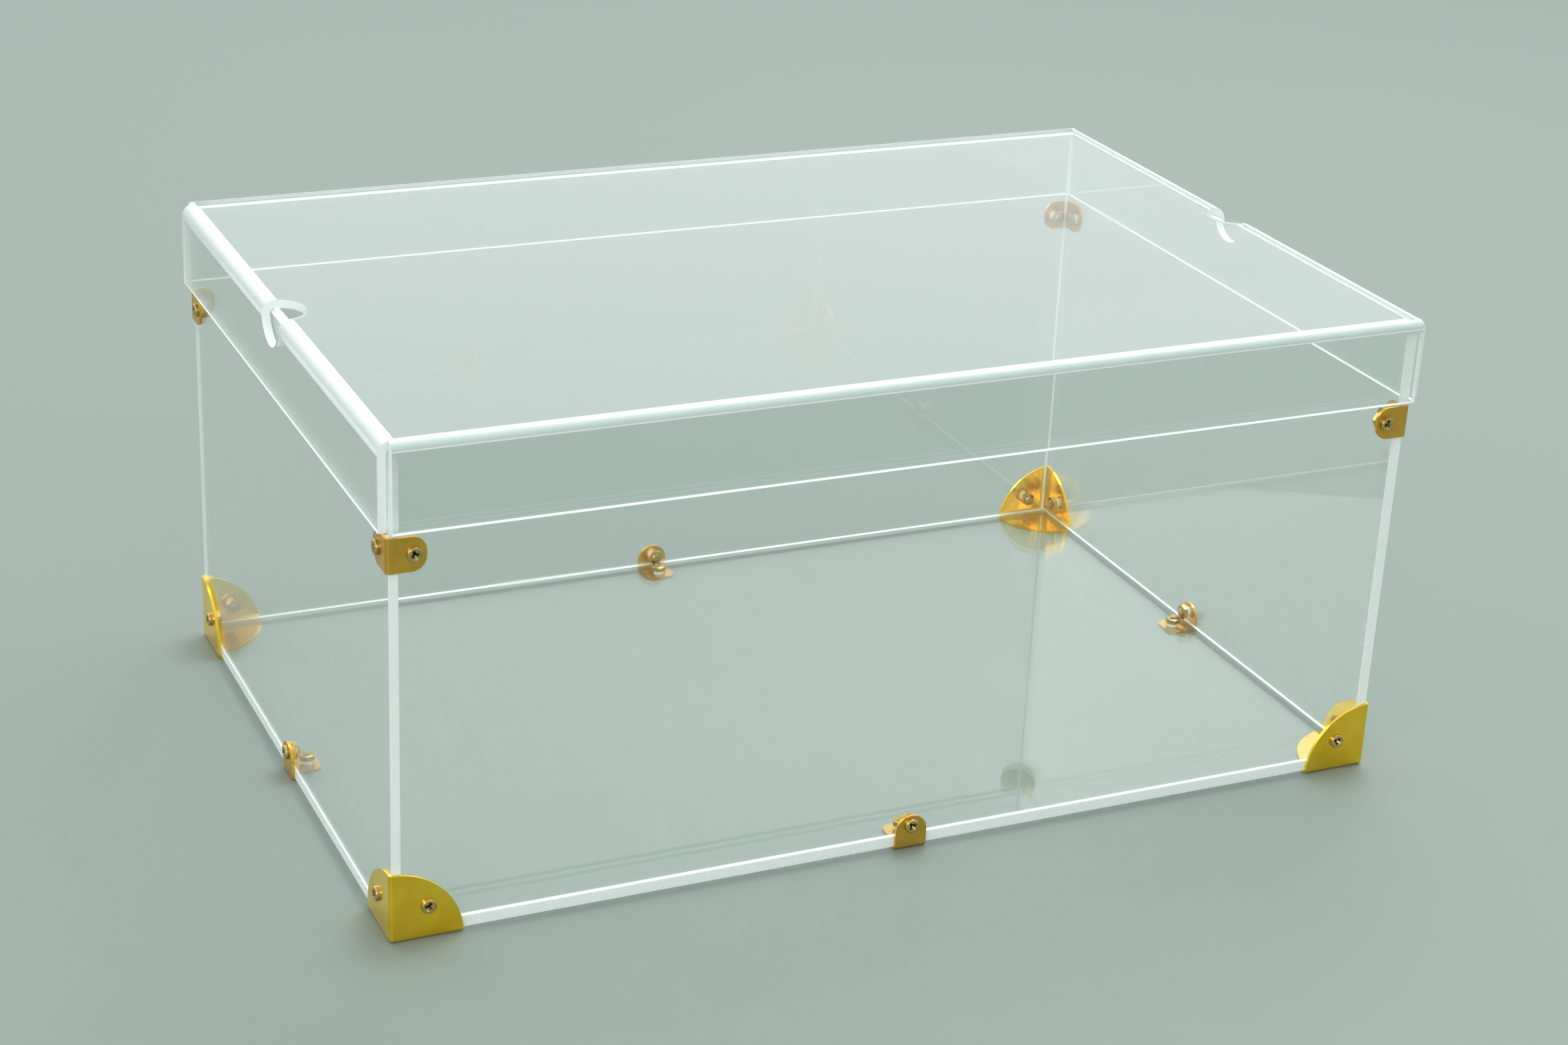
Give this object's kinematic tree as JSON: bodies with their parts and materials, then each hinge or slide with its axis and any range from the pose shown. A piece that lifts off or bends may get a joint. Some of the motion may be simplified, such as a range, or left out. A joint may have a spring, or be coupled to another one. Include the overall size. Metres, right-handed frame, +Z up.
{
  "type": "shoe box",
  "caption": "Clear acrylic shoe box with a lift-off lid, finger notches in the lid's ends, brass corner guards, corner straps and edge clips, all screwed on.",
  "frame": {"origin": "under the middle of the box, on the surface that the box stands on", "axes": "+X to the right along the box's length, +Y from the front to the back, +Z up"},
  "size_m": [0.387, 0.258, 0.179],
  "materials": {
    "acrylic": "polished",
    "guard_brass": "polished",
    "strap_brass": "satin",
    "screw_brass": "satin"
  },
  "bodies": {
    "box": {"base_panel": "acrylic", "front_panel": "acrylic", "right_panel": "acrylic", "back_panel": "acrylic", "left_panel": "acrylic", "corner_guard_front_left": "guard_brass", "corner_guard_front_right": "guard_brass", "corner_guard_back_right": "guard_brass", "corner_guard_back_left": "guard_brass", "corner_strap_front_left": "strap_brass", "corner_strap_front_right": "strap_brass", "corner_strap_back_right": "strap_brass", "corner_strap_back_left": "strap_brass", "edge_clip_front": "strap_brass", "edge_clip_right": "strap_brass", "edge_clip_back": "strap_brass", "edge_clip_left": "strap_brass", "guard_screw_front_left": "screw_brass", "strap_screw_front_left": "screw_brass", "guard_screw_front_right": "screw_brass", "strap_screw_front_right": "screw_brass", "clip_wall_screw_front": "screw_brass", "clip_foot_screw_front": "screw_brass", "guard_screw_right_front": "screw_brass", "strap_screw_right_front": "screw_brass", "guard_screw_right_back": "screw_brass", "strap_screw_right_back": "screw_brass", "clip_wall_screw_right": "screw_brass", "clip_foot_screw_right": "screw_brass", "guard_screw_back_right": "screw_brass", "strap_screw_back_right": "screw_brass", "guard_screw_back_left": "screw_brass", "strap_screw_back_left": "screw_brass", "clip_wall_screw_back": "screw_brass", "clip_foot_screw_back": "screw_brass", "guard_screw_left_back": "screw_brass", "strap_screw_left_back": "screw_brass", "guard_screw_left_front": "screw_brass", "strap_screw_left_front": "screw_brass", "clip_wall_screw_left": "screw_brass", "clip_foot_screw_left": "screw_brass"},
    "lid": {"lid_sheet": "acrylic", "lid_front_strip": "acrylic", "lid_back_strip": "acrylic"}
  },
  "joints": [
    {"name": "lid_lift", "type": "slide", "parent": "box", "child": "lid", "axis": [0, 0, 1], "range_m": [0, 0.2]}
  ]
}
